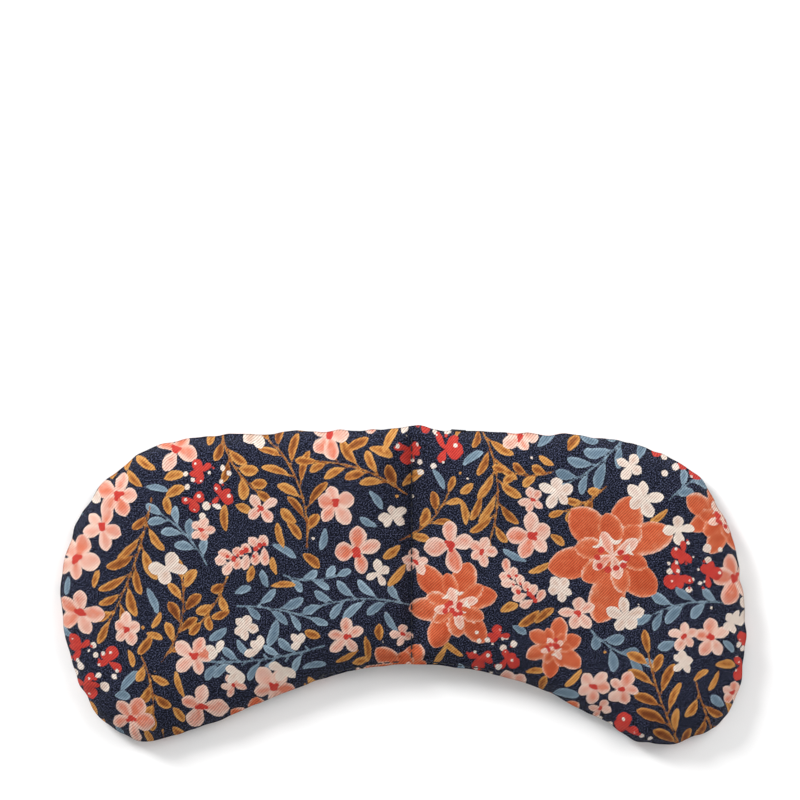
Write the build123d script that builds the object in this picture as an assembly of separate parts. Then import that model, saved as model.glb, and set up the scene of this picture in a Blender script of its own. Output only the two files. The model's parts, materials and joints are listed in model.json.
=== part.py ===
"""Contoured eye pillow: two seed-filled lobes sewn from one front and one back cloth panel.

Frame, in millimetres: +Z up from the surface the pillow lies on, +X along the pillow, +Y towards the
forehead edge. The nose arch faces -Y. The origin is the bottom centre of the bounding box.
A row of stitches at x = STITCH_X joins front to back and divides the filling; the lobes fold about it.
"""
from build123d import *
import math
import os

# ---------------------------------------------------------------- driving dimensions
CLOTH = 0.45                 # thickness of the cotton cloth
SEAM_Z = 6.8                 # height of the edge seam and of the fold line
FRONT_RISE = 12.7            # from the seam up to the top of the front panel
BACK_DROP = SEAM_Z           # from the seam down to the resting face
EDGE = math.radians(60)      # slope of the cloth where it leaves the seam
STITCH_X = 2.97              # the centre stitching, off the middle of the box as the lobes differ in length
STITCH_TOP = 53.68           # its ends, at the forehead edge and at the nose arch
STITCH_BOTTOM = -26.02
WEB = 2.2                    # from the centre stitching to where a lobe starts to swell
ALLOWANCE = 7.0              # width of the seam allowance turned inside
PROFILE_STEPS = 4            # sections of a lobe between the seam and its flat face

FOLD_CLEARANCE = 1.05        # the right half's cloth starts this far from the fold axis

THREAD_R = 0.14              # sewing thread
SEAM_INSET = 1.0             # the hidden seam runs this far inside the edge
STITCH_PITCH = 2.7           # one stitch and its gap
STITCH_LENGTH = 2.2
STITCH_MARGIN = 1.6          # left free at each end of the centre stitching
CLOSING_INSET = 1.2          # the stitching that closes the filling gap, from the edge of the nose arch
CLOSING_FROM = 4.0           # its first and last stitch in each lobe, along X from the centre stitching
CLOSING_TO = 31.0

# Each lobe's edge runs as tangent arcs (radius, turn in degrees) from the forehead edge round the end of
# the lobe. A straight run and the concave half of the nose arch then close it onto the stitching.
LEFT_ARCS = [(1150.0, 3.5), (53.0, 88.5), (87.0, 24.0), (25.0, 86.0)]
RIGHT_ARCS = [(730.0, 5.5), (45.5, 70.0), (137.5, 19.0), (27.0, 115.5)]


# ---------------------------------------------------------------- outline
def heading(angle):
    """Unit vector at an angle in degrees."""
    return Vector(math.cos(math.radians(angle)), math.sin(math.radians(angle)))


def left_normal(angle):
    """Unit vector a quarter turn to the left of a heading."""
    return heading(angle + 90)


class Outline:
    """One lobe's edge, drawn as a left lobe: from (0, STITCH_TOP) anticlockwise to (0, STITCH_BOTTOM)."""

    def __init__(self, arcs):
        point, angle = Vector(0, STITCH_TOP), 180.0
        self.arcs = []                      # (centre, radius, heading at start, heading at end)
        for radius, turn in arcs:
            centre = point + left_normal(angle) * radius
            self.arcs.append((centre, radius, angle, angle + turn))
            angle += turn
            point = centre - left_normal(angle) * radius
        slope = math.radians(angle - 360)
        # Straight run L and arch radius R from: point + L (cos, sin) + R (sin, 1 - cos) = (0, STITCH_BOTTOM)
        across, down = -point.X, STITCH_BOTTOM - point.Y
        det = math.cos(slope) * (1 - math.cos(slope)) - math.sin(slope) ** 2
        self.arch_radius = (math.cos(slope) * down - math.sin(slope) * across) / det
        self.run = (across * (1 - math.cos(slope)) - down * math.sin(slope)) / det
        self.arch_centre = Vector(0, STITCH_BOTTOM - self.arch_radius)
        self.slope = angle

    def face(self, inset, centre_inset):
        """The area inside the edge moved inwards by inset, cut off at centre_inset from the stitching."""
        edges = []
        for i, (centre, radius, start, end) in enumerate(self.arcs):
            r = radius - inset
            if i == 0:
                start = 180 + math.degrees(math.asin(centre_inset / r))
            edges.append(self.arc(centre, r, start, end))
        r = self.arch_radius + inset
        last = 360 + math.degrees(math.asin(centre_inset / r))
        arch = self.arc(self.arch_centre, -r, self.slope, last)
        edges.append(Line(edges[-1] @ 1, arch @ 0))
        edges.append(arch)
        edges.append(Line(arch @ 1, edges[0] @ 0))
        return make_face(edges)

    @staticmethod
    def arc(centre, radius, start, end):
        """Arc between two headings. A negative radius turns right."""
        middle = (start + end) / 2
        return ThreePointArc(*(centre - left_normal(a) * radius for a in (start, middle, end)))

    def arch_point(self, across):
        """Point and heading of the nose arch's edge at a distance across from the stitching."""
        angle = 360 + math.degrees(math.asin(across / self.arch_radius))
        return self.arch_centre + left_normal(angle) * self.arch_radius, angle


# ---------------------------------------------------------------- one lobe, drawn as a left lobe, its seam at z = 0
def side_radius(height):
    """Radius of the rounded side of a cushion half that rises to height, leaving the seam at EDGE_ANGLE."""
    return height / (1 - math.cos(EDGE))


def level_inside(height, inset):
    """Level of that rounded side above the seam at a distance inside the edge."""
    slope = math.asin(math.sin(EDGE) - inset / side_radius(height))
    return side_radius(height) * (math.cos(slope) - math.cos(EDGE))


def cushion_half(outline, height, skin):
    """One side of a lobe above its seam, rounded like a lens, drawn skin inside the cloth's outer surface."""
    sections = []
    for k in range(PROFILE_STEPS + 1):
        slope = EDGE * (1 - k / PROFILE_STEPS)
        inset = side_radius(height) * (math.sin(EDGE) - math.sin(slope))
        level = level_inside(height, inset) * (height - skin) / height
        sections.append(Pos(0, 0, level) * outline.face(skin + inset, WEB + skin + inset))
    return loft(sections)


def allowance(outline):
    """The seam allowance of one panel: a flat ring just inside the edge."""
    ring = outline.face(0, WEB) - outline.face(ALLOWANCE, WEB + ALLOWANCE)
    return extrude(ring, CLOTH)


def web(outline, start):
    """The flat strip of one panel beside the centre stitching, from start to where the lobe swells."""
    return extrude(outline.face(0, start) - outline.face(0, WEB), CLOTH)


def rounded_edge(length_from, length_to):
    """Quarter-round edge of the left half's cloth, over the fold axis."""
    half = Rot(90, 0, 0) * Cylinder(CLOTH, length_to - length_from)
    right_of_axis = Pos(CLOTH / 2, 0, CLOTH / 2) * Box(CLOTH, length_to - length_from, CLOTH)
    return Pos(0, (length_from + length_to) / 2, 0) * (half & right_of_axis)


def panel(outline, height, on_left):
    """One half of a cloth panel: its domed skin, its seam allowance and its strip beside the stitching."""
    skin = cushion_half(outline, height, 0) - cushion_half(outline, height, CLOTH)
    cloth = skin + allowance(outline) + web(outline, 0 if on_left else FOLD_CLEARANCE)
    if on_left:
        cloth += rounded_edge(STITCH_BOTTOM, STITCH_TOP)
    return cloth


def filling(outline):
    """The loose seeds of one lobe as one closed solid, clear of the seam allowances."""
    front = cushion_half(outline, FRONT_RISE, CLOTH) - allowance(outline)
    back = cushion_half(outline, BACK_DROP, CLOTH) - allowance(outline)
    return front + mirror(back, Plane.XY)


def seam_thread(outline):
    """The hidden seam round the edge, as one thread between the two allowances."""
    loop = outline.face(SEAM_INSET, WEB).face().outer_wire()
    centre_side = [e for e in loop.edges() if abs(e.center().X + WEB) < 1e-3]
    path = Wire([e for e in loop.edges() if e not in centre_side])
    section = Plane(origin=path @ 0, z_dir=path % 0) * Circle(THREAD_R)
    return sweep(section, path)


def centre_stitches():
    """The threads on the front of the centre stitching, one short round bar for each stitch."""
    room = STITCH_TOP - STITCH_BOTTOM - 2 * STITCH_MARGIN
    count = int((room + STITCH_PITCH - STITCH_LENGTH) / STITCH_PITCH)
    first = (STITCH_TOP + STITCH_BOTTOM - (count - 1) * STITCH_PITCH) / 2
    bar = Rot(90, 0, 0) * Cylinder(THREAD_R, STITCH_LENGTH)
    return [Pos(0, first + k * STITCH_PITCH, CLOTH + THREAD_R) * bar for k in range(count)]


def closing_stitches(outline, height):
    """The threads on one panel, just inside the nose arch's edge, where the filling gap was sewn shut."""
    bar = Rot(0, 90, 0) * Cylinder(THREAD_R, STITCH_LENGTH)
    level = level_inside(height, CLOSING_INSET)
    stitches = []
    for k in range(int((CLOSING_TO - CLOSING_FROM) / STITCH_PITCH) + 1):
        point, angle = outline.arch_point(CLOSING_FROM + k * STITCH_PITCH)
        middle = point + left_normal(angle) * CLOSING_INSET
        stitches.append(Pos(middle.X, middle.Y, level) * Rot(0, 0, angle) * bar)
    return stitches


# ---------------------------------------------------------------- the pillow
def place(shape, on_left):
    """Moves a shape drawn as a left lobe about the stitching into the pillow's frame."""
    if not on_left:
        shape = mirror(shape, Plane.YZ)
    return Pos(STITCH_X, 0, SEAM_Z) * shape


def lobe(arcs, side):
    """The named pieces of one lobe."""
    outline, on_left = Outline(arcs), side == "left"
    back_closing = [mirror(stitch, Plane.XY) for stitch in closing_stitches(outline, BACK_DROP)]
    pieces = {
        "front_panel": panel(outline, FRONT_RISE, on_left),
        "back_panel": mirror(panel(outline, BACK_DROP, on_left), Plane.XY),
        "seed_fill": filling(outline),
        "seam_thread": seam_thread(outline),
        "closing_stitches": Compound(children=closing_stitches(outline, FRONT_RISE) + back_closing),
    }
    return {f"{name}_{side}": place(shape, on_left) for name, shape in pieces.items()}


def main():
    front_row = Compound(children=centre_stitches())
    nodes = {
        **lobe(LEFT_ARCS, "left"),
        **lobe(RIGHT_ARCS, "right"),
        "centre_needle_thread": place(front_row, True),
        "centre_bobbin_thread": place(mirror(front_row, Plane.XY), True),
    }
    os.makedirs("parts", exist_ok=True)
    for name, shape in nodes.items():
        export_step(shape, f"parts/{name}.step")


main()
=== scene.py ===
"""Looks of a contoured eye pillow: printed cotton twill, sewn round the edge and down the middle, with seeds.

The cloth is cut flat, then sewn, filled and settled in a cloth simulation, and refined. Lengths are metres,
in the frame's axes. Only the print is in millimetres, on the flat cloth.
"""
import json
import math

import bmesh
import bpy
import numpy as np
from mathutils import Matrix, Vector, geometry, noise


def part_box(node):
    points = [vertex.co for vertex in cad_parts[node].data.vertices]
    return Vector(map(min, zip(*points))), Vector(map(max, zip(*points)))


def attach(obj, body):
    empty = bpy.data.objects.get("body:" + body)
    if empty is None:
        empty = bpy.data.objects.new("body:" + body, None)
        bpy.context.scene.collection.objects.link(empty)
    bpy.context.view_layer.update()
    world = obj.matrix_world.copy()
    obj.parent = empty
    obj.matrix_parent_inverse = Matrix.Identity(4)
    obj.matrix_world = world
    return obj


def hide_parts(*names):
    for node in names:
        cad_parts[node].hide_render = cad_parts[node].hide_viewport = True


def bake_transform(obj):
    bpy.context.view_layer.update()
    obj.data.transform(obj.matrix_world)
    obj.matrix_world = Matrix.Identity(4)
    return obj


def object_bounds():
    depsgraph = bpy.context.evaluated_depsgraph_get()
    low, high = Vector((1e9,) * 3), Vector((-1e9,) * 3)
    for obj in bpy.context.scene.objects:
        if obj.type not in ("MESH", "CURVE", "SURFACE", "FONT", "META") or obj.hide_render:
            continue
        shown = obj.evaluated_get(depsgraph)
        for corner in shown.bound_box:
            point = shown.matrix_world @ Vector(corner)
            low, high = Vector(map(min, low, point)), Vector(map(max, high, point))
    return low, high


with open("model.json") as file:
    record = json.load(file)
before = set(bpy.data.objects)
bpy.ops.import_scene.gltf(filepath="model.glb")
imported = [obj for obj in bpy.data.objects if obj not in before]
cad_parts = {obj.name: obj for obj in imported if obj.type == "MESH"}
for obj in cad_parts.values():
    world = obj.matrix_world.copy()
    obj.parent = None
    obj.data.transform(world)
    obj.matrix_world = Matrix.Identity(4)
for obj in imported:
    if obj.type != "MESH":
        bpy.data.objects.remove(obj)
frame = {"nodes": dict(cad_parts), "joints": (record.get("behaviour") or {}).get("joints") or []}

cad_low, cad_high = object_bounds()

MM = 0.001
STITCH_X, _, SEAM_Z = frame["joints"][0]["pos_m"]  # the centre stitching lies on the fold line

# ---- driving dimensions
LATTICE = 2.1 * MM  # spacing of the simulated cloth's points
EASE = 0.2 * MM  # the flat cloth is cut this much larger than the filled outline all round
CLOTH = 0.45 * MM  # cloth thickness
ON_LINE = 1e-6  # points closer to a line than this lie on it
SMOOTHING = 2  # subdivision levels after the simulation
SIM_SCALE = 10  # the simulation runs on a cloth ten times larger
SIM_FRAMES = 40
SIM_GAP = 0.8 * MM  # what the simulation keeps between the cloth and the floor
SIM_VOLUME = 0.33  # filling, in cubic metres at the simulation's scale
SIDE = 24 * MM  # its starting shape rounds over from the seam within this distance
CENTRE_SLACK = (1.5 * MM, 11 * MM)  # the filling's pressure grows between these distances from the stitching

THREAD = 0.24 * MM  # radius of the sewing thread
STITCH_PITCH = 2.7 * MM
STITCH_LENGTH = 2.45 * MM
STITCH_MARGIN = 1.6 * MM  # left free at each end of the centre stitching
CLOSING_INSET = 0.95 * MM  # the stitching that closes the filling gap, from the edge of the nose arch
CLOSING_FROM = 5.2 * MM  # where it starts and ends in each lobe, along X from the centre stitching
CLOSING_TO = 31.0 * MM
THREAD_LIFT = 0.6 * THREAD  # its middle, above the cloth
FOLD_ROOM = (0.72, 0.9)  # the seeds' steepest slope at the fold, below and above the seam
SEAM_END = (13 * MM, 18 * MM)  # where the seam's end shows at the top edge, along X from the centre
ALLOWANCE = 2.4 * MM  # how far the turned edge reaches inside the seam

SEED = 21  # of the print's random draws


# ---- flat cloth
def lobe_edge(side):
    """The CAD outline of a lobe at its seam, anticlockwise from one end of the stitching to the other."""
    node = frame["nodes"][f"front_panel_{side}"]
    low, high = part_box(f"front_panel_{side}")
    centre = Vector(((low[0] + high[0]) / 2, (low[1] + high[1]) / 2, SEAM_Z + 0.01 * MM))
    rays, outside, cut_back = 1440, 0.2, 2.4 * MM  # the CAD panel is cut back this far from the stitching
    found = []
    for k in range(rays):
        way = Vector((math.cos(math.tau * k / rays), math.sin(math.tau * k / rays), 0))
        hit, place, _, _ = node.ray_cast(centre + way * outside, -way)
        found.append(tuple(place.xy) if hit and abs(place.x - STITCH_X) > cut_back else None)
    start = next(k for k in range(rays) if found[k] and not found[k - 1])
    return np.array([p for p in found[start:] + found[:start] if p])


def evenly(points, spacing):
    """Points evenly spaced along a line, its ends kept."""
    along = np.r_[0, np.cumsum(np.linalg.norm(np.diff(points, axis=0), axis=1))]
    at = np.linspace(0, along[-1], round(along[-1] / spacing) + 1)
    return np.c_[np.interp(at, along, points[:, 0]), np.interp(at, along, points[:, 1])]


def nearest_edge(points, loop):
    """Distance from each point to a closed line, the nearest point on it and the line's normal there."""
    distance = np.full(len(points), np.inf)
    place, normal = np.zeros((len(points), 2)), np.zeros((len(points), 2))
    out = outwards(loop)
    for a, b, out_a, out_b in zip(loop, np.roll(loop, -1, axis=0), out, np.roll(out, -1, axis=0)):
        share = np.clip((points - a) @ (b - a) / ((b - a) @ (b - a)), 0, 1)[:, None]
        on_line = a + share * (b - a)
        away = np.linalg.norm(points - on_line, axis=1)
        closer = away < distance
        distance[closer], place[closer] = away[closer], on_line[closer]
        normal[closer] = (out_a + share * (out_b - out_a))[closer]
    return distance, place, normal


def depth(points, loop):
    """Distance from each point to a closed line."""
    return nearest_edge(points, loop)[0]


def inside(points, loop):
    """Whether each point is inside a closed line."""
    x, y = points.T
    odd = np.zeros(len(points), bool)
    for (x1, y1), (x2, y2) in zip(loop, np.roll(loop, -1, axis=0)):
        if y1 != y2:
            odd ^= ((y1 > y) != (y2 > y)) & (x < (x2 - x1) * (y - y1) / (y2 - y1) + x1)
    return odd


def outwards(loop):
    """Unit normals of an anticlockwise closed line in the plane, pointing out of it."""
    along = np.roll(loop, -1, axis=0) - np.roll(loop, 1, axis=0)
    along /= np.linalg.norm(along, axis=1)[:, None]
    return np.c_[along[:, 1], -along[:, 0]]


def cut_cloth(left, right):
    """The flat pattern's points, faces and edge line, and which points lie on the edge or the stitching."""
    top, bottom = (STITCH_X, left[0][1]), (STITCH_X, left[-1][1])
    left = evenly(np.vstack([top, left, bottom]), LATTICE)
    right = evenly(np.vstack([bottom, right, top]), LATTICE)
    loop = np.vstack([left[:-1], right[:-1]])
    normals = outwards(loop)
    foot = len(left) - 1
    normals[0], normals[foot] = (0, 1), (0, -1)
    loop = loop + normals * EASE

    rows = round((loop[0][1] - loop[foot][1]) / LATTICE)
    step = (loop[0][1] - loop[foot][1]) / rows
    columns, rows_down = round(130 * MM / LATTICE), 2 * round(60 * MM / step)  # enough for the whole pillow
    x, y = np.meshgrid(STITCH_X + LATTICE * np.arange(-columns, columns + 1),
                       loop[0][1] - step * np.arange(-2, rows_down))
    grid = np.c_[x.ravel(), y.ravel()]
    grid = grid[inside(grid, loop)]
    grid = grid[depth(grid, loop) > 0.55 * LATTICE]  # none crowds the edge's own points

    points = [Vector(p) for p in np.vstack([loop, grid])]
    on_stitch = [k for k in range(len(loop), len(points)) if abs(points[k].x - STITCH_X) < ON_LINE]
    column = [foot] + sorted(on_stitch, key=lambda k: points[k].y) + [0]
    ring = [(k, (k + 1) % len(loop)) for k in range(len(loop))]
    lines = ring + list(zip(column, column[1:]))
    made = geometry.delaunay_2d_cdt(points, lines, [list(range(len(loop)))], 1, 0.1 * ON_LINE)
    flat = np.array([tuple(v) for v in made[0]])

    bm = bmesh.new()
    verts = [bm.verts.new((x, y, 0)) for x, y in flat]
    for face in made[2]:
        bm.faces.new([verts[k] for k in face])
    bm.normal_update()
    bmesh.ops.join_triangles(bm, faces=bm.faces[:], angle_face_threshold=0.1, angle_shape_threshold=0.9)
    faces = [[v.index for v in f.verts] for f in bm.faces]
    bm.free()
    return flat, faces, loop, depth(flat, loop) < ON_LINE, np.abs(flat[:, 0] - STITCH_X) < ON_LINE


# ---- meshes
def add_object(name, data):
    """A new object in the scene."""
    obj = bpy.data.objects.new(name, data)
    bpy.context.scene.collection.objects.link(obj)
    return obj


def link_mesh(name, verts, faces):
    """A new smooth-shaded object with this mesh."""
    mesh = bpy.data.meshes.new(name)
    mesh.from_pydata(np.asarray(verts).tolist(), [], [list(map(int, f)) for f in faces])
    mesh.polygons.foreach_set("use_smooth", [True] * len(mesh.polygons))
    mesh.update()
    return add_object(name, mesh)


def set_vectors(mesh, name, values):
    """Stores three numbers on each vertex."""
    attribute = mesh.attributes.new(name, "FLOAT_VECTOR", "POINT")
    attribute.data.foreach_set("vector", np.ascontiguousarray(values, np.float32).ravel())


def read(items, name):
    """A mesh's places, normals or stored vectors, as rows of three numbers."""
    values = np.empty(len(items) * 3)
    items.foreach_get(name, values)
    return values.reshape(-1, 3)


def add_rectangle(name, half_x, half_y, z):
    """A new flat object of one face round the origin."""
    mesh = bpy.data.meshes.new(name)
    corners = [(-half_x, -half_y, z), (half_x, -half_y, z), (half_x, half_y, z), (-half_x, half_y, z)]
    mesh.from_pydata(corners, [], [(0, 1, 2, 3)])
    return add_object(name, mesh)


# ---- sewn and filled
def ramp(value, low, high):
    """0 below low, 1 above high, smooth between them."""
    t = np.clip((value - low) / (high - low), 0, 1)
    return t * t * (3 - 2 * t)


def fill_cover(flat, faces, loop, on_edge, on_stitch):
    """Sews two flat panels together, fills them and lets them settle. Returns the points of both."""
    shared = on_edge | on_stitch
    back_index = np.arange(len(flat))
    back_index[~shared] = len(flat) + np.arange((~shared).sum())
    reach = np.minimum(np.minimum(depth(flat, loop), np.abs(flat[:, 0] - STITCH_X)), SIDE) / SIDE
    crown = np.sqrt(1 - (1 - reach) ** 2)
    front = np.c_[flat, crown * (cad_high.z - SEAM_Z)]
    back = np.c_[flat, -crown * SEAM_Z][~shared]
    level = np.zeros(len(flat))
    cut = np.vstack([np.c_[flat, level], np.c_[flat, level][~shared]])
    sewn = faces + [[int(back_index[k]) for k in face[::-1]] for face in faces]
    pressed = ramp(np.abs(flat[:, 0] - STITCH_X), *CENTRE_SLACK)
    pressed = np.r_[pressed, pressed[~shared]]
    settled = settle(np.vstack([front, back]), cut, sewn, np.flatnonzero(on_stitch), pressed)
    front, back = settled[:len(flat)], settled[len(flat):]
    whole_back = front.copy()
    whole_back[~shared] = back
    front[:, 2] += SEAM_Z
    whole_back[:, 2] += SEAM_Z
    return front, whole_back


def settle(start, cut, faces, pinned, pressed):
    """Runs the cloth simulation: a cover cut flat, full of a heavy filling, comes to rest on the floor."""
    mesh = bpy.data.meshes.new("sewn_cover")
    mesh.from_pydata((start * SIM_SCALE).tolist(), [], faces)
    cover = add_object("sewn_cover", mesh)
    cover.shape_key_add(name="start")
    rest = cover.shape_key_add(name="cut")
    rest.data.foreach_set("co", (cut * SIM_SCALE).ravel())
    rest.value = 0
    pins = cover.vertex_groups.new(name="pins")
    pins.add([int(k) for k in pinned], 1.0, "REPLACE")
    push = cover.vertex_groups.new(name="push")
    for k, weight in enumerate(pressed):
        push.add([k], float(weight), "REPLACE")

    floor = add_rectangle("sim_floor", 3, 2, -(SEAM_Z + SIM_GAP) * SIM_SCALE)
    floor.modifiers.new("Collision", "COLLISION")
    floor.collision.thickness_outer = 0.005
    floor.collision.cloth_friction = 5

    cloth = cover.modifiers.new("Cloth", "CLOTH")
    cloth.collision_settings.distance_min = 0.003
    cloth.collision_settings.collision_quality = 2
    s = cloth.settings
    s.quality = 6
    s.mass = 0.003
    s.tension_stiffness, s.compression_stiffness, s.shear_stiffness, s.bending_stiffness = 30, 20, 10, 0.9
    s.tension_damping, s.compression_damping, s.shear_damping, s.bending_damping = 5, 5, 5, 0.5
    s.use_pressure = True
    s.use_pressure_volume = True
    s.target_volume = SIM_VOLUME
    s.pressure_factor = 1.2
    s.fluid_density = 0.05
    s.vertex_group_pressure = "push"
    s.vertex_group_mass = "pins"
    s.pin_stiffness = 1
    s.rest_shape_key = rest
    for step in range(1, SIM_FRAMES + 1):
        bpy.context.scene.frame_set(step)
    done = cover.evaluated_get(bpy.context.evaluated_depsgraph_get())
    places = read(done.data.vertices, "co")
    for thing in (cover, floor):
        bpy.data.objects.remove(thing)
    bpy.context.scene.frame_set(1)
    return places / SIM_SCALE


# ---- refined panels
def subdivide(verts, faces, flat):
    """Catmull-Clark subdivision of a panel. Returns points, quads, normals and places on the flat cloth."""
    obj = link_mesh("panel_cage", verts, faces)
    set_vectors(obj.data, "flat", np.c_[flat, np.zeros(len(flat))])
    smooth = obj.modifiers.new("Subdivision", "SUBSURF")
    smooth.levels = smooth.render_levels = SMOOTHING
    done = obj.evaluated_get(bpy.context.evaluated_depsgraph_get()).data
    places, normals = read(done.vertices, "co"), read(done.vertex_normals, "vector")
    spread = read(done.attributes["flat"].data, "vector")[:, :2]
    corners = np.empty(len(done.loops), np.int32)
    done.loops.foreach_get("vertex_index", corners)
    bpy.data.objects.remove(obj)
    return places, corners.reshape(-1, 4), normals, spread


def open_edge(quads):
    """The points along a mesh's open edge, in order."""
    a, b = quads.ravel(), np.roll(quads, -1, axis=1).ravel()
    pairs = set(zip(a.tolist(), b.tolist()))
    after = {p: q for p, q in pairs if (q, p) not in pairs}
    loop = [min(after)]
    while after[loop[-1]] != loop[0]:
        loop.append(after[loop[-1]])
    return np.array(loop)


def lumps(places, size, seed):
    """Smooth noise between about -1 and 1, its bumps about size across."""
    if places.shape[1] == 2:
        places = np.c_[places, np.zeros(len(places))]
    return np.array([noise.noise(Vector(p) / size + Vector((seed, 0, 0))) for p in places])


def closing_share(x, y):
    """1 along the nose arch where the filling gap was closed, 0 elsewhere."""
    return (y < 0) * (1 - ramp(np.abs(x - STITCH_X), CLOSING_TO, CLOSING_TO + 3 * MM))


def band(distance, rise, fall, end):
    """1 between rise and fall from a line, fading to 0 at the line and at end."""
    return ramp(distance, 0, rise) * (1 - ramp(distance, fall, end))


def bell(distance, width):
    """1 on a line, fading smoothly with distance."""
    return np.exp(-(distance / width) ** 2)


SEED_LUMPS = ((0.10, 2.6, 3), (0.35, 9, 7), (0.7, 24, 9))  # height and width in mm, and the noise's offset
EDGE_LUMPS = ((1.5, 10.5, 4), (0.7, 5, 8))  # gathers along the seam: share, width in mm, the noise's offset
ARCH_CALM = 0.55  # share that the gathers lose along the nose arch
EDGE_FOLD = 0.55 * MM  # height of the gathers beside the seam
EDGE_WAVE = 0.75 * MM  # and how far they move the outline
CENTRE_FOLD = 1.0 * MM  # height of the gathers beside the centre stitching
VALLEY = 0.5 * MM  # how far the stitching pulls the cloth beside it down
TOP_PEAK = 1.3 * MM  # how far the outline rises at the top of the stitching
PUCKER = 0.22 * MM  # height of the fine puckers at the seam
DIMPLE = 0.16 * MM  # depth of a stitch's dimple in the centre row
GROOVE = 0.35 * MM  # depth of the groove under the closing row
PINCH = 0.8  # how flat the closing row presses the edge, from 0 to 1
REST = 0.12 * MM  # height within which the underside flattens against the floor


def dress(places, normals, spread, loop, side):
    """Adds what the simulation leaves out: gathers, the seeds' lumps, the cloth's thickness and dimples."""
    from_edge, at_edge, out = nearest_edge(spread, loop)
    from_stitch = np.abs(spread[:, 0] - STITCH_X)
    free = ramp(np.minimum(from_edge, from_stitch), 0, 6 * MM)
    seeds = sum(height * MM * lumps(places, width * MM, side + start) for height, width, start in SEED_LUMPS)

    gather = sum(share * lumps(at_edge, width * MM, start) for share, width, start in EDGE_LUMPS)
    along_arch = (at_edge[:, 1] < 0) * (1 - ramp(np.abs(at_edge[:, 0] - STITCH_X), 30 * MM, 80 * MM))
    gather *= 1 - ARCH_CALM * along_arch
    centre_gather = lumps(np.c_[np.zeros(len(spread)), spread[:, 1]], 7 * MM, 2)
    swell = free * seeds + EDGE_FOLD * gather * band(from_edge, 3.5 * MM, 4 * MM, 15 * MM)
    swell += CENTRE_FOLD * centre_gather * band(from_stitch, 3 * MM, 3 * MM, 14 * MM) * free
    swell -= VALLEY * free * bell(from_stitch, 7 * MM)
    places = places + normals * swell[:, None]
    places[:, :2] += out * (EDGE_WAVE * gather * (1 - ramp(from_edge, 0, 12 * MM)))[:, None]
    top = (spread[:, 1] > 0) * bell(from_stitch, 8 * MM) * (1 - ramp(from_edge, 0, 9 * MM))
    places[:, 1] += TOP_PEAK * top
    puckers = lumps(spread, 4.2 * MM, side + 5) * band(from_edge, 1 * MM, 1 * MM, 7 * MM)
    places[:, 2] += side * PUCKER * puckers
    thick = np.maximum(np.exp(-from_edge / (1.6 * MM)), np.exp(-from_stitch / (1.2 * MM)))
    places[:, 2] += side * CLOTH * thick

    at_stitch = np.cos((spread[:, 1] - loop[0][1]) / STITCH_PITCH * math.tau)
    places[:, 2] += side * DIMPLE * at_stitch * bell(from_stitch - 0.5 * MM, 0.8 * MM)

    share = closing_share(spread[:, 0], spread[:, 1])
    pinched = share * (1 - ramp(from_edge, CLOSING_INSET, CLOSING_INSET + 3.0 * MM))
    seam_level = places[:, 2] - side * (0.55 * from_edge + CLOTH)
    at_seam = np.abs(seam_level - SEAM_Z) < 3 * MM
    target = np.where(at_seam, seam_level, SEAM_Z) + side * 2 * CLOTH
    places[:, 2] += pinched * (target - places[:, 2]) * PINCH
    places[:, 2] -= side * GROOVE * share * bell(from_edge - CLOSING_INSET, 0.45 * MM)
    places[:, 2] = REST * np.logaddexp(0, places[:, 2] / REST)
    return places


# the turned edge's lines of points, from the seam inwards: inset and height in mm
TURNED = ((-0.02, 0.2), (0.12, 0.05), (0.6, 0.02), (ALLOWANCE / MM, 0.02))


def turn_edge(places, quads, spread, side):
    """Folds the panel's open edge under, so that the seam is a fine groove between two turned edges."""
    loop = open_edge(quads)
    line = places[loop]
    out = outwards(line[:, :2]) * side
    level = line[:, 2] - side * CLOTH
    verts, flats, faces = [places], [spread], [quads]
    previous = loop
    for inset, height in TURNED:
        ring = np.c_[line[:, :2] - out * inset * MM, level + side * height * MM]
        first = sum(len(v) for v in verts)
        now = first + np.arange(len(loop))
        verts.append(ring)
        flats.append(spread[loop] + out * (0.3 * MM + abs(inset) * MM))
        faces.append(np.c_[previous, now, np.roll(now, -1), np.roll(previous, -1)][:, ::-1])
        previous = now
    return np.vstack(verts), np.vstack(faces), np.vstack(flats)


# ---- print
TONED = ("blue", "ochre", "coral", "blush", "cream")  # inks with light and dark parts
INKS = TONED + ("red", "spots")  # each is printed over those before it
PRINT_LOW, PRINT_HIGH = (-126, -66), (126, 62)  # the cloth's printed part
LOOKOUT = 1.0  # between the points where the print looks for bare ground
FAR = 9.0  # stands for the distance to an ink that isn't near
PLACE_TRIES = 400  # places tried for a motif before it is left out
GAP_TRIES = 3500  # places looked at for bare ground
GAP = 2.1  # ground is bare this far from all ink
# circles that a motif keeps free: their places along it and their radii, as shares of its size
ROUND = ((0, 0.78),)
LONG = ((0.06, 0.11), (0.3, 0.15), (0.55, 0.15), (0.8, 0.13))


def turned(degrees):
    """The unit vector in this direction."""
    return np.array((math.cos(math.radians(degrees)), math.sin(math.radians(degrees))))


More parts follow.
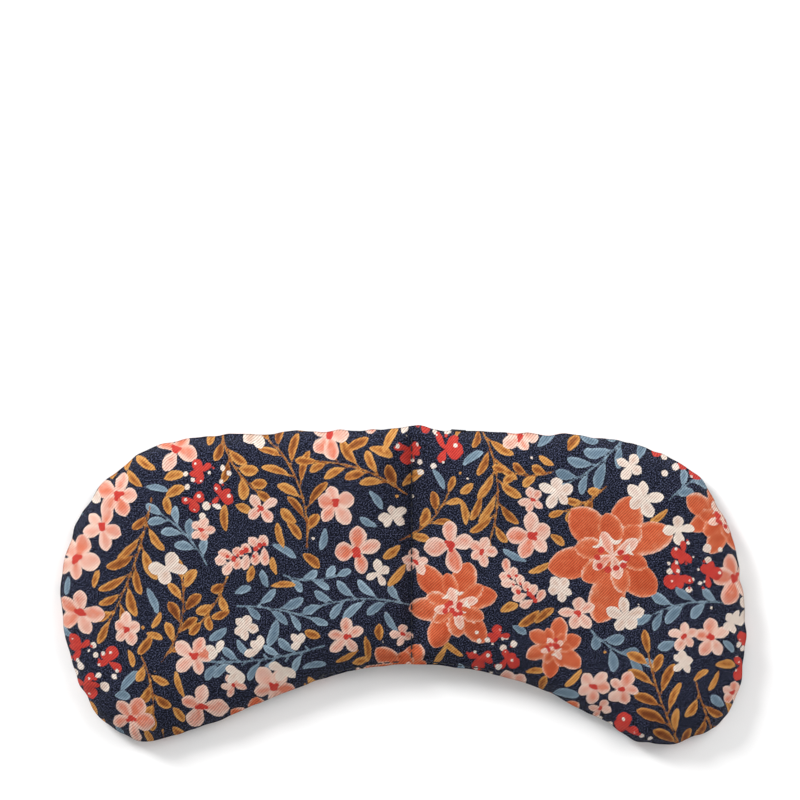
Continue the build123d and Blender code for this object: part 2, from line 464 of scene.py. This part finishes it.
class Print:
    """Distances to a floral print's motifs at points of the flat cloth, one field for each ink.

    Its first points are a plain grid, where it looks for bare ground, so any cloth has the same layout.
    """

    def __init__(self, points):
        axes = [np.arange(low, high + LOOKOUT, LOOKOUT) for low, high in zip(PRINT_LOW, PRINT_HIGH)]
        x, y = np.meshgrid(*axes)
        self.columns, self.lookouts = x.shape[1], x.size
        every = np.vstack([np.c_[x.ravel(), y.ravel()], points])
        order = np.argsort(every[:, 0], kind="stable")  # so that a stroke finds its points quickly
        self.points, self.rank = every[order], np.argsort(order)
        self.away = {ink: np.full(len(self.points), FAR) for ink in INKS}
        self.tone = {ink: np.zeros(len(self.points)) for ink in INKS}
        self.taken = []
        self.random = np.random.default_rng(SEED)

    def any(self, low, high):
        """A random number between these."""
        return self.random.uniform(low, high)

    def about(self, value, spread):
        """A value varied at random by up to this share of itself."""
        return value * self.any(1 - spread, 1 + spread)

    def stroke(self, ink, start, end, width, bend=0.0, widest=0.5, blunt=0.6, shade=0.5, rim=1.2):
        """A brush stroke, broadest at widest, even for blunt 0. Its tone deepens within rim of its edge."""
        start, end = np.array(start, float), np.array(end, float)
        length = np.linalg.norm(end - start)
        middle, reach = (start + end) / 2, length * 0.7 + width + 1
        first, last = np.searchsorted(self.points[:, 0], (middle[0] - reach, middle[0] + reach))
        near = first + np.flatnonzero(np.abs(self.points[first:last, 1] - middle[1]) < reach)
        along = (end - start) / length
        local = self.points[near] - start
        u, v = local @ along / length, local @ np.array((-along[1], along[0]))
        on = np.clip(u, 0, 1)
        v = v - bend * length * 4 * on * (1 - on)
        half = width / 2 * np.sin(math.pi * on ** (math.log(0.5) / math.log(widest))).clip(0.002) ** blunt
        away = np.hypot(v, (u - on) * length) - half
        inked = away < 0
        side, within = v[inked] / half[inked], np.clip(-away[inked] / rim, 0, 1)
        tone = 0.62 * within + 0.14 * side + 0.22 * (1 - on[inked]) + 0.5 * (shade - 0.5)
        self.tone[ink][near[inked]] = np.clip(tone, 0, 1)
        self.away[ink][near] = np.minimum(self.away[ink][near], away)

    def stem(self, ink, start, end, width):
        """A thin even line."""
        self.stroke(ink, start, end, width, blunt=0, shade=1.0, rim=0.3)

    def dot(self, ink, x, y, radius, shade=0.5):
        """A spot."""
        way = turned(self.any(0, 180)) * radius
        self.stroke(ink, (x, y) - way, (x, y) + way, self.about(radius * 1.9, 0.15), blunt=0.5, shade=shade)

    def leaf(self, ink, x, y, angle, length, width, bend=0.0, shade=0.5):
        """A blunt leaf from (x, y), in the direction of angle."""
        self.stroke(ink, (x, y), (x, y) + turned(angle) * length, width, bend=bend,
                    widest=0.57, blunt=0.48, shade=shade)

    def petal(self, ink, x, y, angle, length, width, shade=0.5, rim=1.2):
        """A petal, narrow at (x, y) and broad at its tip."""
        bend = self.any(-0.05, 0.05)
        self.stroke(ink, (x, y), (x, y) + turned(angle) * length, width, bend=bend,
                    widest=0.62, blunt=0.55, shade=shade, rim=rim)

    def blossom(self, x, y, size, turn, ink="blush", heart="red"):
        """A small open flower."""
        petals = self.random.choice((4, 5, 5))
        for k in range(petals):
            angle = turn + 360 / petals * k + self.any(-13, 13)
            self.petal(ink, x, y, angle, self.about(size, 0.17), self.about(size * 0.66, 0.2),
                       shade=self.any(0.1, 0.95), rim=1.6)
        self.dot(heart, x, y, size * 0.17)
        for _ in range(2):
            self.dot(heart, *((x, y) + turned(self.any(0, 360)) * size * 0.2), size * 0.1)

    def bloom(self, x, y, size, turn):
        """A large open flower: coral petals with pale rims, paler inner ones, and red and cream strokes."""
        petals = self.random.choice((6, 7))
        for ring, share in ((0, 1.0), (1, 0.66)):
            for k in range(petals):
                angle = turn + 360 / petals * (k + ring / 2) + self.any(-8, 8)
                length = self.about(size * share, 0.12)
                self.petal("coral", x, y, angle, length, length * self.any(0.46, 0.6),
                           shade=self.any(0.35, 0.9), rim=1.1 + size * 0.03)
        for k in range(4):
            angle = turn + 40 + 90 * k + self.any(-14, 14)
            self.petal("blush", x, y, angle, self.about(size * 0.46, 0.2), size * 0.2,
                       shade=self.any(0, 0.6))
        for k in range(4):
            middle = (x, y) + turned(turn + 60 + 62 * k) * size * self.any(0.24, 0.36)
            across = turned(turn + 60 + 62 * k + 90) * size * 0.1
            self.stroke("cream", middle - across, middle + across, size * 0.055 + 0.3, bend=0.35, blunt=0.3)
        for k in range(8):
            at = (x, y) + turned(turn - 100 + 32 * k) * size * self.any(0.05, 0.28)
            self.dot("red", *at, size * 0.04 + 0.35)

    def rosette(self, x, y, size, turn):
        """A lopsided red flower: one broad petal between narrower ones, with pale spots on it."""
        self.petal("red", x, y, turn, self.about(size * 1.05, 0.1), self.about(size * 0.85, 0.15))
        for k in range(1, 4):
            angle = turn + (58 if k % 2 else -58) * (0.6 + 0.5 * k) + self.any(-14, 14)
            self.petal("red", x, y, angle, self.about(size * 0.82, 0.2), self.about(size * 0.45, 0.2))
        for k in range(2):
            at = (x, y) + turned(turn + 150 * k + 100) * self.about(size * 0.8, 0.2)
            self.dot("red", *at, size * 0.1)
        for k in range(3):
            at = (x, y) + turned(turn + 125 * k + self.any(-30, 30)) * self.about(size * 0.6, 0.4)
            self.dot("spots", *at, self.about(0.38 + size * 0.03, 0.35))

    def berries(self, x, y, size):
        """Three pale berries close together."""
        for k in range(3):
            way = 120 * k + self.any(-30, 30)
            at = (x, y) + turned(way) * self.about(size * 0.7, 0.3)
            self.dot("spots" if k == 0 else "cream", *at, size * self.any(0.2, 0.42),
                     shade=self.any(0, 0.6))

    def cluster(self, x, y, size, turn):
        """A spike of many small blush florets with red eyes."""
        for k in range(11):
            at = (x, y) + turned(turn) * size * (k / 10 - 0.5) * 1.25
            way = turn + (75 if k % 2 else -75) * (1 - 0.05 * k)
            self.petal("blush", *at, way, self.about(size * 0.42, 0.25), size * 0.27,
                       shade=self.any(0, 0.7))
        for k in range(9):
            at = (x, y) + turned(turn) * size * (k / 8 - 0.5) * 1.1
            at = at + turned(turn + 90) * self.any(-0.16, 0.16) * size
            self.dot("red", *at, self.about(size * 0.065, 0.3))

    def bud(self, x, y, size, angle):
        """A cream bud of three lobes."""
        for spread in (-60, 0, 60):
            way = angle + spread + self.any(-15, 15)
            self.petal("cream", x, y, way, self.about(size, 0.2), size * 0.62,
                       shade=self.any(0, 0.8))

    def sprig(self, ink, start, end, bend, leaves, length, width, spread=40, bud_every=0,
              stem=0.62, deep=0.0):
        """A curved stem with leaves in turn to each side, the longest in the middle, and one at the tip."""
        start, end = np.array(start, float), np.array(end, float)
        across = np.array((start[1] - end[1], end[0] - start[0]))
        turn = math.degrees(math.atan2(end[1] - start[1], end[0] - start[0]))

        def at(t):
            return start + (end - start) * t + across * bend * 4 * t * (1 - t)

        for t in np.linspace(0, 0.9, 10):
            self.stem(ink, at(t), at(t + 0.1), stem)
        for k in range(leaves):
            t = 0.12 + 0.86 * k / leaves
            side = 1 if k % 2 else -1
            angle = turn + math.degrees(math.atan(bend * 4 * (1 - 2 * t))) + side * self.about(spread, 0.25)
            long = self.about(length * (0.66 + 0.44 * math.sin(math.pi * t)), 0.16)
            stalk = turned(angle) * long * 0.28
            self.stem(ink, at(t), at(t) + stalk, stem)
            if bud_every and k % bud_every == 0:
                self.bud(*(at(t) + stalk * 2), long * 0.62, angle)
            else:
                self.leaf(ink, *(at(t) + stalk * 0.7), angle, long * 0.86, self.about(width, 0.18),
                          bend=side * -0.06, shade=self.any(0, 1) + deep)
        angle = turn + math.degrees(math.atan(-bend * 4))
        self.leaf(ink, *at(1.0), angle, length * 0.8, width * 0.9, shade=0.6)

    def branch(self, x, y, size, turn, ink="ochre", deep=0.0):
        """A leafy sprig from (x, y)."""
        bend = self.any(0.04, 0.12) * self.random.choice((-1, 1))
        self.sprig(ink, (x, y), (x, y) + turned(turn) * size, bend, round(size / 4.2), 4 + size * 0.14,
                   self.about(3.0, 0.12), stem=0.5, deep=deep)

    def spray(self, x, y, size, turn):
        """A blue sprig."""
        self.branch(x, y, size, turn, ink="blue", deep=self.random.choice((0.1, 0.5)))

    def bud_spray(self, x, y, size, turn):
        """A blue sprig with cream buds."""
        self.sprig("blue", (x, y), (x, y) + turned(turn) * size, 0.05, round(size / 2.8), size * 0.18, 2.5,
                   spread=48, bud_every=3)

    def posy(self, x, y, size, turn):
        """Three red flowers round pale berries."""
        for k in range(3):
            way = turn + 120 * k + self.any(-20, 20)
            self.rosette(*((x, y) + turned(way) * size * 0.52), self.about(size * 0.46, 0.15), way + 30 * k)
            at = (x, y) + turned(way + 60) * size * self.any(0.4, 0.75)
            self.berries(*at, self.about(size * 0.3, 0.2))

    def pale_blossom(self, x, y, size, turn):
        """A small cream flower."""
        self.blossom(x, y, size, turn, ink="cream", heart="blush")

    def scatter(self, motif, sizes, shape=ROUND):
        """Draws the motif once in each size, where its circles meet none of those placed before it."""
        for size in sizes:
            for _ in range(PLACE_TRIES):
                x, y = self.any(PRINT_LOW, PRINT_HIGH)
                turn = self.any(0, 360)
                spots = [(*((x, y) + turned(turn) * along * size), radius * size) for along, radius in shape]
                if all(math.hypot(a - b, c - d) > e + f for a, c, e in spots for b, d, f in self.taken):
                    self.taken += spots
                    motif(x, y, size, turn)
                    break

    def bare(self, x, y):
        """How far the nearest ink is from (x, y)."""
        column, row = np.rint((np.array((x, y)) - PRINT_LOW) / LOOKOUT).astype(int)
        k = self.rank[row * self.columns + column]
        return min(field[k] for field in self.away.values())

    def fill_gaps(self):
        """Single leaves and a few spots where the ground is still bare."""
        for _ in range(GAP_TRIES):
            x, y = self.any(PRINT_LOW, PRINT_HIGH)
            angle, kind = self.any(0, 360), self.any(0, 1)
            if self.bare(x, y) > GAP + 0.5:
                length = self.any(5.0, 9.5)
                start = (x, y) - turned(angle) * length / 2
                self.leaf("ochre" if kind < 0.72 else "blue", *start, angle, length,
                          self.any(2.0, 3.4), bend=0.05, shade=kind)
            elif self.bare(x, y) > GAP * 0.6 and kind < 0.05:
                self.dot("ochre" if kind < 0.02 else "cream", x, y, self.any(0.3, 0.6))


def draw_print(points):
    """The inks' distances and tones at these points. Large motifs come first, then what lies between them."""
    art = Print(points)
    art.scatter(art.bloom, (21, 16, 15, 13.5, 12.5, 11, 11, 10))
    art.scatter(art.branch, np.linspace(46, 28, 15), LONG)
    art.scatter(art.posy, np.linspace(13, 10, 9))
    art.scatter(art.bud_spray, (42, 36, 32), LONG)
    art.scatter(art.spray, np.linspace(34, 18, 18), LONG)
    art.scatter(art.branch, np.linspace(24, 16, 8), LONG)
    art.scatter(art.cluster, (12, 11, 11))
    art.scatter(art.blossom, np.linspace(8.6, 3.8, 46))
    art.scatter(art.pale_blossom, np.linspace(6.6, 4.0, 20))
    art.fill_gaps()
    channels = [field for ink in TONED for field in (art.away[ink], art.tone[ink])]
    channels += [art.away[ink] for ink in INKS[len(TONED):]]
    return [field[art.rank[art.lookouts:]] for field in channels]


# ---- materials
def srgb(red, green, blue):
    """A colour from display values between 0 and 255."""
    return tuple(c / 12.92 if c <= 0.04045 else ((c + 0.055) / 1.055) ** 2.4
                 for c in (red / 255, green / 255, blue / 255)) + (1.0,)


def dyed(red, green, blue):
    """The colour of cloth that looks like this display colour under the scene's lights."""
    return tuple(c / LIGHT_ON_CLOTH for c in srgb(red, green, blue)[:3]) + (1.0,)


class Shader:
    """Short names for building one material's node tree."""

    def __init__(self, name):
        self.material = bpy.data.materials.new(name)
        self.material.use_nodes = True
        self.tree = self.material.node_tree
        self.surface = self.tree.nodes["Principled BSDF"]

    def node(self, kind, **settings):
        made = self.tree.nodes.new(kind)
        for key, value in settings.items():
            setattr(made, key, value)
        return made

    def feed(self, socket, value):
        if isinstance(value, bpy.types.NodeSocket):
            self.tree.links.new(value, socket)
        else:
            socket.default_value = value

    def maths(self, operation, a, b=0.0, clamp=False):
        made = self.node("ShaderNodeMath", operation=operation, use_clamp=clamp)
        self.feed(made.inputs[0], a)
        self.feed(made.inputs[1], b)
        return made.outputs[0]

    def centred(self, value, scale):
        return self.maths("MULTIPLY", self.maths("SUBTRACT", value, 0.5), scale)

    def mix(self, share, a, b, blend="MIX"):
        made = self.node("ShaderNodeMix", data_type="RGBA", blend_type=blend)
        self.feed(made.inputs[0], share)
        self.feed(made.inputs[6], a)
        self.feed(made.inputs[7], b)
        return made.outputs[2]

    def span(self, value, low, high, out_low=0.0, out_high=1.0):
        made = self.node("ShaderNodeMapRange")
        for socket, given in zip(made.inputs, (value, low, high, out_low, out_high)):
            self.feed(socket, given)
        return made.outputs[0]

    def colours(self, value, *stops):
        made = self.node("ShaderNodeValToRGB")
        stops_in = made.color_ramp.elements
        for k, (position, colour) in enumerate(stops):
            stop = stops_in[k] if k < 2 else stops_in.new(position)
            stop.position, stop.color = position, colour
        self.feed(made.inputs[0], value)
        return made.outputs[0]

    def noise(self, vector, scale, detail=2.0, rough=0.5):
        made = self.node("ShaderNodeTexNoise")
        self.feed(made.inputs["Vector"], vector)
        for key, value in (("Scale", scale), ("Detail", detail), ("Roughness", rough)):
            made.inputs[key].default_value = value
        return made.outputs[0]

    def stored(self, name):
        return self.node("ShaderNodeAttribute", attribute_name=name).outputs["Vector"]

    def parts(self, vector):
        made = self.node("ShaderNodeSeparateXYZ")
        self.feed(made.inputs[0], vector)
        return made.outputs

    def paint(self, colour):
        self.feed(self.surface.inputs["Base Color"], colour)

    def bump(self, height, distance, strength=1.0):
        made = self.node("ShaderNodeBump")
        made.inputs["Strength"].default_value = strength
        made.inputs["Distance"].default_value = distance
        self.feed(made.inputs["Height"], height)
        self.feed(self.surface.inputs["Normal"], made.outputs[0])

    def finish(self, roughness, sheen=0.0, specular=0.3):
        self.feed(self.surface.inputs["Roughness"], roughness)
        self.surface.inputs["Sheen Weight"].default_value = sheen
        self.surface.inputs["Sheen Roughness"].default_value = 0.5
        self.surface.inputs["Specular IOR Level"].default_value = specular
        return self.material


LIGHT_ON_CLOTH = 1.42  # how much brighter than its colour the cloth looks
TWILL_ACROSS = 1.02  # mm between diagonal ribs, measured along a thread
THREADS_IN_RIB = 3
INK_EDGE = 0.13  # mm over which an ink fades at its edge
GROUND = ((5, 7, 16), (11, 14, 26))  # display colours of the navy ground, and of its paler threads
GROUND_THREADS = (80, 85, 112)
INK_COLOURS = {  # each ink from the edge of a stroke, 0, to its middle, 1, as display colours
    "blue": ((0.0, 160, 184, 200), (0.4, 130, 152, 168), (1.0, 100, 122, 140)),
    "ochre": ((0.0, 220, 162, 94), (0.35, 202, 138, 72), (0.6, 164, 98, 50), (0.95, 116, 64, 36)),
    "coral": ((0.0, 240, 192, 172), (0.3, 226, 136, 100), (0.6, 214, 106, 70), (1.0, 196, 84, 52)),
    "blush": ((0.0, 244, 212, 196), (0.5, 236, 184, 166), (0.95, 226, 126, 98)),
    "cream": ((0.0, 244, 230, 216), (0.6, 231, 209, 196), (1.0, 216, 182, 162)),
    "red": ((0.0, 220, 92, 78), (0.5, 204, 66, 58), (1.0, 176, 46, 44)),
    "spots": ((0.0, 246, 236, 226), (1.0, 232, 212, 200)),
}


def printed_cotton():
    """Printed cotton twill. The print's distances and the flat coordinates are stored on the mesh."""
    s = Shader("printed_cotton_twill")
    flat = s.stored("flat")
    x, y, _ = s.parts(flat)
    edge = s.maths("ADD", s.centred(s.noise(flat, 0.4, 2.0), 0.7), s.centred(s.noise(flat, 2.6, 1.0), 0.5))
    mottle = s.noise(flat, 0.45, 3.0, 0.6)
    grain = s.noise(flat, 1.7, 2.0, 0.8)
    specks = s.noise(flat, 2.3, 1.0, 0.8)

    channels = [out for k in range(4) for out in s.parts(s.stored(f"ink_{k}"))]
    colour = s.mix(s.span(mottle, 0.35, 0.65), *(dyed(*shade) for shade in GROUND))
    colour = s.mix(s.span(specks, 0.5, 0.62), colour, dyed(*GROUND_THREADS))
    uneven = s.centred(mottle, 0.9)
    for n, ink in enumerate(INKS):
        if ink in TONED:
            away, tone = channels[2 * n], s.maths("ADD", channels[2 * n + 1], uneven, clamp=True)
        else:
            away, tone = channels[len(TONED) + n], s.maths("ADD", uneven, 0.5, clamp=True)
        cover = s.span(s.maths("ADD", away, edge), INK_EDGE, -INK_EDGE)
        cover = s.maths("MULTIPLY", cover, s.span(grain, 0.22, 0.4, 0.72, 1.0))
        stops = [(position, dyed(*shade)) for position, *shade in INK_COLOURS[ink]]
        colour = s.mix(cover, colour, s.colours(tone, *stops))

    # twill: diagonal ribs rising to the right, each crossed by its threads
    slant = s.maths("DIVIDE", s.maths("SUBTRACT", x, y), TWILL_ACROSS)
    wander = s.maths("MULTIPLY", s.noise(flat, 0.5, 1.0), 0.5)
    rib = s.maths("SINE", s.maths("MULTIPLY", s.maths("ADD", slant, wander), math.tau))
    thread = s.maths("SINE", s.maths("MULTIPLY", y, math.tau * THREADS_IN_RIB / TWILL_ACROSS))
    weave = s.maths("ADD", s.maths("MULTIPLY", rib, 0.7), s.maths("MULTIPLY", thread, 0.3))
    # painted shade of the weave: the colour is darkened in the ribs' grooves and between threads and
    # lightened on their crests, together with the fibres' uneven grain
    light = s.span(s.maths("ADD", weave, s.maths("MULTIPLY", grain, 0.9)), -0.7, 1.4, 0.46, 1.42)
    s.paint(s.mix(1.0, colour, light, "MULTIPLY"))
    s.bump(s.maths("ADD", weave, s.maths("MULTIPLY", grain, 0.8)), 0.06 * MM, 0.7)
    return s.finish(s.span(grain, 0.3, 0.7, 0.78, 0.94), sheen=0.03, specular=0.04)


def sewing_thread():
    """Dark polyester thread, its twist as fine ridges."""
    s = Shader("navy_thread")
    place = s.node("ShaderNodeTexCoord").outputs["Object"]
    x, y, z = s.parts(place)
    turns = s.maths("MULTIPLY", s.maths("ADD", s.maths("ADD", x, y), z), math.tau / (0.28 * MM))
    twist = s.maths("SINE", turns)
    # painted shade of the twist: the colour darkens in its grooves and lightens on its ridges, following the
    # bump's height
    s.paint(s.colours(s.span(twist, -1, 1), (0.0, srgb(12, 14, 24)), (1.0, srgb(30, 34, 50))))
    s.bump(twist, 0.03 * MM, 0.8)
    return s.finish(0.5, sheen=0.2, specular=0.4)


def flax_seed():
    """Brown flax seeds lying flat against each other."""
    s = Shader("flax_seed")
    place = s.node("ShaderNodeTexCoord").outputs["Object"]
    squeeze = s.node("ShaderNodeMapping")
    s.feed(squeeze.inputs["Vector"], place)
    squeeze.inputs["Scale"].default_value = (1.0, 0.55, 1.0)
    cells = s.node("ShaderNodeTexVoronoi", feature="F1")
    s.feed(cells.inputs["Vector"], squeeze.outputs[0])
    cells.inputs["Scale"].default_value = 1 / (2.3 * MM)
    hue = s.parts(cells.outputs["Color"])[0]
    colour = s.colours(hue, (0.0, srgb(84, 44, 22)), (0.5, srgb(126, 72, 36)), (1.0, srgb(164, 108, 62)))
    dome = s.span(cells.outputs["Distance"], 0.0, 0.75, 1.0, 0.0)
    # painted shade: each seed darkens to near-black towards its edge, in the crevice where it meets the next
    s.paint(s.mix(s.span(dome, 0.0, 0.3, 0.8, 0.0), colour, srgb(30, 16, 10)))
    s.bump(dome, 0.5 * MM, 1.0)
    return s.finish(0.35, specular=0.5)


def paper_floor():
    """A plain white surface."""
    s = Shader("white_floor")
    place = s.node("ShaderNodeTexCoord").outputs["Object"]
    s.paint(s.mix(s.noise(place, 30.0), (0.90, 0.90, 0.90, 1), (0.92, 0.92, 0.92, 1)))
    return s.finish(0.9, specular=0.1)


# ---- pieces
BACK_SHIFT = 6  # mm along X from the front's print to the back's


def make_panel(name, cage, faces, flat, loop, side, material):
    """One sewn panel: subdivided, dressed, its edge turned and its print stored on it."""
    places, quads, normals, spread = subdivide(cage, faces, flat)
    places = dress(places, normals, spread, loop, side)
    places, quads, spread = turn_edge(places, quads, spread, side)
    panel = link_mesh(name, places, quads)
    pattern = spread / MM
    if side < 0:
        pattern = np.c_[pattern[:, 0] + BACK_SHIFT, -pattern[:, 1]]
    channels = draw_print(pattern)
    set_vectors(panel.data, "flat", np.c_[pattern, np.zeros(len(pattern))])
    for k in range(4):
        set_vectors(panel.data, f"ink_{k}", np.stack(channels[3 * k:3 * k + 3], axis=1))
    panel.data.materials.append(material)
    return panel


def stitch_row(name, stitches, material):
    """A row of stitches, each given by its two ends and the direction away from the cloth."""
    sides, stations = 8, 9
    verts, faces = [], []
    for start, end, up in stitches:
        start, end, up = np.array(start), np.array(end), np.array(up)
        along = (end - start) / np.linalg.norm(end - start)
        across = np.cross(up, along)
        first = len(verts)
        for k in range(stations):
            t = k / (stations - 1)
            dip = THREAD * 2.4 * (abs(2 * t - 1) ** 5)  # its ends go down into the cloth
            middle = start + (end - start) * t - up * dip
            for j in range(sides):
                turn = math.tau * j / sides
                verts.append(middle + THREAD * (math.cos(turn) * across + math.sin(turn) * up))
        for k in range(stations - 1):
            for j in range(sides):
                a, b = first + k * sides + j, first + k * sides + (j + 1) % sides
                faces.append((a, b, b + sides, a + sides))
        faces.append([first + j for j in range(sides)][::-1])
        faces.append([first + (stations - 1) * sides + j for j in range(sides)])
    row = link_mesh(name, verts, faces)
    row.data.materials.append(material)
    return row


def on_panel(panel, x, y, side):
    """Where a vertical line meets a panel, and the panel's normal there, away from the filling."""
    _, place, normal, _ = panel.ray_cast(Vector((x, y, SEAM_Z + side * 0.1)), Vector((0, 0, -side)))
    normal = Vector(normal)
    return np.array(place), np.array(normal if normal.z * side > 0 else -normal)


def centre_row(name, panel, loop, side, material):
    """The stitching down the middle, on one panel."""
    on_stitching = loop[:, 1][np.abs(loop[:, 0] - STITCH_X) < ON_LINE]
    top, bottom = on_stitching.max(), on_stitching.min()
    count = int((top - bottom - 2 * STITCH_MARGIN + STITCH_PITCH - STITCH_LENGTH) / STITCH_PITCH)
    first = (top + bottom - (count - 1) * STITCH_PITCH) / 2
    stitches = []
    for k in range(count):
        y = first + k * STITCH_PITCH
        level = on_panel(panel, STITCH_X, y, side)[0][2] + side * THREAD_LIFT
        ends = [(STITCH_X, y + e * STITCH_LENGTH / 2, level) for e in (-1, 1)]
        stitches.append((*ends, (0, 0, side)))
    return stitch_row(name, stitches, material)


def closing_row(name, edge, sign, panels, material):
    """The stitching that closes the filling gap in one lobe, on both panels."""
    line = edge[::-1] if sign < 0 else edge
    away = np.abs(line[:, 0] - STITCH_X)
    stitches = []
    for k in range(int((CLOSING_TO - CLOSING_FROM) / STITCH_PITCH) + 1):
        reach = CLOSING_FROM + k * STITCH_PITCH
        n = int(np.argmax(away > reach))
        along = line[n + 4] - line[n - 4]
        along /= np.linalg.norm(along)
        inward = np.array((-along[1], along[0])) * sign
        middle = line[n] + inward * CLOSING_INSET
        for panel, side in panels:
            ends = [on_panel(panel, *(middle + along * STITCH_LENGTH / 2 * e), side) for e in (-1, 1)]
            up = ends[0][1] + ends[1][1]
            up /= np.linalg.norm(up)
            stitches.append((ends[0][0] + up * THREAD_LIFT, ends[1][0] + up * THREAD_LIFT, up))
    if sign < 0:  # the knot and the thread's loose end
        knot, tail = stitches[-2][1], line[n] + inward * 1.6 * MM
        for turn in (20, 75, 140):
            way = np.array((*turned(turn), 0)) * 1.1 * MM
            stitches.append((knot - way, knot + way + (0, 0, 0.25 * MM), (0, 0, 1)))
        loose, up = on_panel(panels[0][0], *tail, 1)
        stitches.append((knot, loose + up * THREAD, up))
    return stitch_row(name, stitches, material)


def seam_row(name, sign, line, front, material):
    """The hidden seam round one lobe, between the turned edges. Its end shows at the right lobe's top."""
    out = outwards(line[:, :2])
    inset, centre_gap, stitch_share = 1.0 * MM, 2.5 * MM, 0.85
    stitches = []
    for k in range(len(line)):
        after = (k + 1) % len(line)
        if (line[k][0] - STITCH_X) * sign < centre_gap:
            continue
        level = (0, 0, line[k][2])
        start, end = line[k][:2] - out[k] * inset, line[after][:2] - out[after] * inset
        end = start + (end - start) * stitch_share
        stitches.append((np.r_[start, 0] + level, np.r_[end, 0] + level, (0, 0, 1)))
    if sign > 0:
        ends = []
        for x in SEAM_END:
            outside = Vector((STITCH_X + x, 0.1, SEAM_Z + 0.5 * MM))
            ends.append(np.array(front.ray_cast(outside, Vector((0, -1, 0)))[1]))
        for strand in (0.2 * MM, 0.55 * MM):
            start, end = ends[0] + (strand, strand, 0), ends[1] + (strand, 0.5 * strand, strand)
            stitches.append((start, end, (0, 0, 1)))
    return stitch_row(name, stitches, material)


def seed_fill(name, sign, front, back, faces, flat, loop, shared, material):
    """One lobe's seeds as a closed lumpy body just inside the cloth."""
    mine = [f for f in faces if (np.mean(flat[f, 0]) - STITCH_X) * sign > 0]
    used = sorted({k for f in mine for k in f})
    upper = {k: n for n, k in enumerate(used)}
    lower = dict(upper)
    verts = [front[k] for k in used]
    for k in used:
        if not shared[k]:
            lower[k] = len(verts)
            verts.append(back[k])
    quads = [[upper[k] for k in f] for f in mine] + [[lower[k] for k in f[::-1]] for f in mine]
    body = link_mesh(name, verts, quads)
    places = np.array(verts)
    reach = np.minimum(depth(places[:, :2], loop), np.abs(places[:, 0] - STITCH_X))
    inwards = 0.9 * MM + 1.9 * MM * np.exp(-reach / (4 * MM))  # more at the seams, where the cloth is doubled
    places -= read(body.data.vertex_normals, "vector") * inwards[:, None]
    body.data.vertices.foreach_set("co", places.ravel())
    smooth = body.modifiers.new("Subdivision", "SUBSURF")
    smooth.levels = smooth.render_levels = 1
    done = bpy.data.meshes.new_from_object(body.evaluated_get(bpy.context.evaluated_depsgraph_get()))
    body.modifiers.clear()
    body.data = done
    points = read(done.vertices, "co")
    dents = 0.25 * MM * (1 + lumps(points, 1.6 * MM, 2))
    points -= read(done.vertex_normals, "vector") * dents[:, None]
    away = np.abs(points[:, 0] - STITCH_X) - 0.5 * MM
    points[:, 2] = np.clip(points[:, 2], SEAM_Z - FOLD_ROOM[0] * away, SEAM_Z + FOLD_ROOM[1] * away)
    done.vertices.foreach_set("co", points.ravel())
    done.update()
    done.materials.append(material)
    return body


# ---- the pillow
edges = {lobe: lobe_edge(lobe) for lobe in ("left", "right")}
flat, faces, loop, on_edge, on_stitch = cut_cloth(edges["left"], edges["right"])
front, back = fill_cover(flat, faces, loop, on_edge, on_stitch)
backs = [f[::-1] for f in faces]
shared = on_edge | on_stitch
cotton, navy_thread, seeds = printed_cotton(), sewing_thread(), flax_seed()

front_cloth = make_panel("front_cloth", front, faces, flat, loop, 1, cotton)
back_cloth = make_panel("back_cloth", back, backs, flat, loop, -1, cotton)
for cloth, panel in ((front_cloth, "front_panel"), (back_cloth, "back_panel")):
    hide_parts(f"{panel}_left", f"{panel}_right")

rows = [centre_row("centre_needle_stitches", front_cloth, loop, 1, navy_thread),
        centre_row("centre_bobbin_stitches", back_cloth, loop, -1, navy_thread)]
for row, node in zip(rows, ("centre_needle_thread", "centre_bobbin_thread")):
    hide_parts(node)
    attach(row, "left_lobe")

on_loop = front[[int(np.argmin(np.linalg.norm(flat - p, axis=1))) for p in loop]]
for lobe, sign in (("left", -1), ("right", 1)):
    closing = closing_row(f"closing_row_{lobe}", edges[lobe], sign,
                          ((front_cloth, 1), (back_cloth, -1)), navy_thread)
    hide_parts(f"closing_stitches_{lobe}")
    hidden = seam_row(f"seam_stitches_{lobe}", sign, on_loop, front_cloth, navy_thread)
    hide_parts(f"seam_thread_{lobe}")
    filling = seed_fill(f"seeds_{lobe}", sign, front, back, faces, flat, on_loop[:, :2], shared, seeds)
    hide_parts(f"seed_fill_{lobe}")
    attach(filling, f"{lobe}_lobe")
    for row in (closing, hidden):
        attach(row, f"{lobe}_lobe")

for cloth in (front_cloth, back_cloth):
    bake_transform(cloth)

# ---- floor, light and camera
floor = add_rectangle("floor", 3.0, 3.0, 0)
floor.data.materials.append(paper_floor())


def area_light(name, place, size, power):
    """A square soft white light aimed at the pillow."""
    lamp = bpy.data.lights.new(name, "AREA")
    lamp.energy, lamp.size = power, size
    obj = add_object(name, lamp)
    obj.location = place
    obj.rotation_euler = (-Vector(place)).to_track_quat("-Z", "Y").to_euler()


area_light("shadow_light", (-0.90, 0.88, 0.80), size=0.42, power=20)
area_light("right_light", (0.95, 0.80, 1.00), size=1.0, power=13)
world = bpy.data.worlds.new("studio")
bpy.context.scene.world = world
world.use_nodes = True
background = world.node_tree.nodes["Background"].inputs
background["Color"].default_value = (1, 1, 1, 1)
background["Strength"].default_value = 0.6

VIEW_HEIGHT = 1.1  # the camera looks straight down from here
VIEW_WIDTH = 0.2737  # what it sees across, at the seam's height
VIEW_MIDDLE = (-0.0010, 0.0642)  # the picture's middle in X and Y
SENSOR = 36
camera = bpy.data.cameras.new("camera")
camera.sensor_width = SENSOR
camera.lens = SENSOR * (VIEW_HEIGHT - SEAM_Z) / VIEW_WIDTH
camera.clip_start, camera.clip_end = 0.01, 20
camera_object = add_object("camera", camera)
camera_object.location = (*VIEW_MIDDLE, VIEW_HEIGHT)
bpy.context.scene.camera = camera_object
bpy.context.scene.view_settings.view_transform = "Standard"
